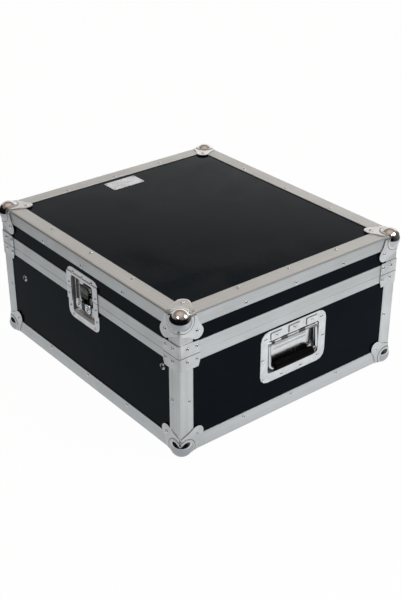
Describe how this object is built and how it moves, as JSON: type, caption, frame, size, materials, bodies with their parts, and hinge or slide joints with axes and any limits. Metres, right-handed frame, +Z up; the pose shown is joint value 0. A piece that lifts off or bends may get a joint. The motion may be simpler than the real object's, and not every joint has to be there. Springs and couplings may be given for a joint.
{
  "type": "rackmount mixer flight case",
  "caption": "Black flight case for a rackmount mixer, with aluminium edging, ball corners, a lift-off lid, twist latches and spring handles.",
  "frame": {"origin": "on the ground, under the middle of the case", "axes": "+Z up; -Y towards the front handle; X across the rack rails, -X towards the left latch"},
  "size_m": [0.5464, 0.6064, 0.2976],
  "materials": {
    "black_laminate": "fine-grained black laminate on plywood",
    "aluminium_edging": "satin mill finish",
    "zinc_plate": "bright zinc plate",
    "nickel_plate": "polished nickel plate",
    "black_grip": "matte moulded",
    "black_rail": "black powder coat"
  },
  "bodies": {
    "case_base": {"base_floor_panel": "black_laminate", "base_wall_front": "black_laminate", "base_wall_back": "black_laminate", "base_wall_left": "black_laminate", "base_wall_right": "black_laminate", "bottom_edge_frame": "aluminium_edging", "base_rim_frame": "aluminium_edging", "base_post_front_left": "aluminium_edging", "base_post_front_right": "aluminium_edging", "base_post_back_left": "aluminium_edging", "base_post_back_right": "aluminium_edging", "base_ball_corner_front_left": "nickel_plate", "base_ball_corner_front_right": "nickel_plate", "base_ball_corner_back_left": "nickel_plate", "base_ball_corner_back_right": "nickel_plate", "base_brace_front_left": "zinc_plate", "base_brace_front_right": "zinc_plate", "base_brace_back_left": "zinc_plate", "base_brace_back_right": "zinc_plate", "rack_rail_left": "black_rail", "rack_rail_right": "black_rail", "handle_dish_front": "zinc_plate", "handle_dish_back": "zinc_plate", "handle_spring_front": "zinc_plate", "handle_spring_back": "zinc_plate", "latch_dish_left": "zinc_plate", "latch_dish_right": "zinc_plate"},
    "lid": {"lid_top_panel": "black_laminate", "lid_wall_front": "black_laminate", "lid_wall_back": "black_laminate", "lid_wall_left": "black_laminate", "lid_wall_right": "black_laminate", "top_edge_frame": "aluminium_edging", "lid_rim_frame": "aluminium_edging", "lid_post_front_left": "aluminium_edging", "lid_post_front_right": "aluminium_edging", "lid_post_back_left": "aluminium_edging", "lid_post_back_right": "aluminium_edging", "lid_ball_corner_front_left": "nickel_plate", "lid_ball_corner_front_right": "nickel_plate", "lid_ball_corner_back_left": "nickel_plate", "lid_ball_corner_back_right": "nickel_plate", "lid_brace_front_left": "zinc_plate", "lid_brace_front_right": "zinc_plate", "lid_brace_back_left": "zinc_plate", "lid_brace_back_right": "zinc_plate", "catch_dish_left": "zinc_plate", "catch_dish_right": "zinc_plate"},
    "handle_front": {"handle_bail_front": "nickel_plate", "handle_grip_front": "black_grip"},
    "handle_back": {"handle_bail_back": "nickel_plate", "handle_grip_back": "black_grip"},
    "latch_spindle_left": {"latch_spindle_left": "nickel_plate"},
    "latch_wing_left_a": {"latch_wing_left_a": "nickel_plate"},
    "latch_wing_left_b": {"latch_wing_left_b": "nickel_plate"},
    "latch_hook_left": {"latch_hook_left": "zinc_plate"},
    "latch_spindle_right": {"latch_spindle_right": "nickel_plate"},
    "latch_wing_right_a": {"latch_wing_right_a": "nickel_plate"},
    "latch_wing_right_b": {"latch_wing_right_b": "nickel_plate"},
    "latch_hook_right": {"latch_hook_right": "zinc_plate"}
  },
  "joints": [
    {"name": "lid_lift_off", "type": "slide", "parent": "case_base", "child": "lid", "axis": [0, 0, 1], "range_m": [0, 0.15]},
    {"name": "handle_front_hinge", "type": "hinge", "parent": "case_base", "child": "handle_front", "pos_m": [0, -0.2902, 0.1607], "axis": [-1, 0, 0], "range_deg": [0, 88], "stiffness_Nm_per_rad": 0.12, "springref_deg": -28.65},
    {"name": "handle_back_hinge", "type": "hinge", "parent": "case_base", "child": "handle_back", "pos_m": [0, 0.2902, 0.1607], "axis": [1, 0, 0], "range_deg": [0, 88], "stiffness_Nm_per_rad": 0.12, "springref_deg": -28.65},
    {"name": "latch_left_twist", "type": "hinge", "parent": "case_base", "child": "latch_spindle_left", "pos_m": [-0.265, 0, 0.1842], "axis": [-1, 0, 0], "range_deg": [0, 180]},
    {"name": "latch_left_hook_slide", "type": "slide", "parent": "case_base", "child": "latch_hook_left", "axis": [0, 0, 1], "range_m": [0, 0.008]},
    {"name": "latch_left_wing_a_flip", "type": "hinge", "parent": "latch_spindle_left", "child": "latch_wing_left_a", "pos_m": [-0.2644, -0.0026, 0.1842], "axis": [0, 0, -1], "range_deg": [0, 90]},
    {"name": "latch_left_wing_b_flip", "type": "hinge", "parent": "latch_spindle_left", "child": "latch_wing_left_b", "pos_m": [-0.2644, 0.0026, 0.1842], "axis": [0, 0, 1], "range_deg": [0, 90]},
    {"name": "latch_right_twist", "type": "hinge", "parent": "case_base", "child": "latch_spindle_right", "pos_m": [0.265, 0, 0.1842], "axis": [1, 0, 0], "range_deg": [0, 180]},
    {"name": "latch_right_hook_slide", "type": "slide", "parent": "case_base", "child": "latch_hook_right", "axis": [0, 0, 1], "range_m": [0, 0.008]},
    {"name": "latch_right_wing_a_flip", "type": "hinge", "parent": "latch_spindle_right", "child": "latch_wing_right_a", "pos_m": [0.2644, 0.0026, 0.1842], "axis": [0, 0, -1], "range_deg": [0, 90]},
    {"name": "latch_right_wing_b_flip", "type": "hinge", "parent": "latch_spindle_right", "child": "latch_wing_right_b", "pos_m": [0.2644, -0.0026, 0.1842], "axis": [0, 0, 1], "range_deg": [0, 90]}
  ],
  "couplings": [
    {"joint": "latch_left_twist", "follows": "latch_left_hook_slide", "rad_per_m": 392.7},
    {"joint": "latch_right_twist", "follows": "latch_right_hook_slide", "rad_per_m": 392.7}
  ]
}
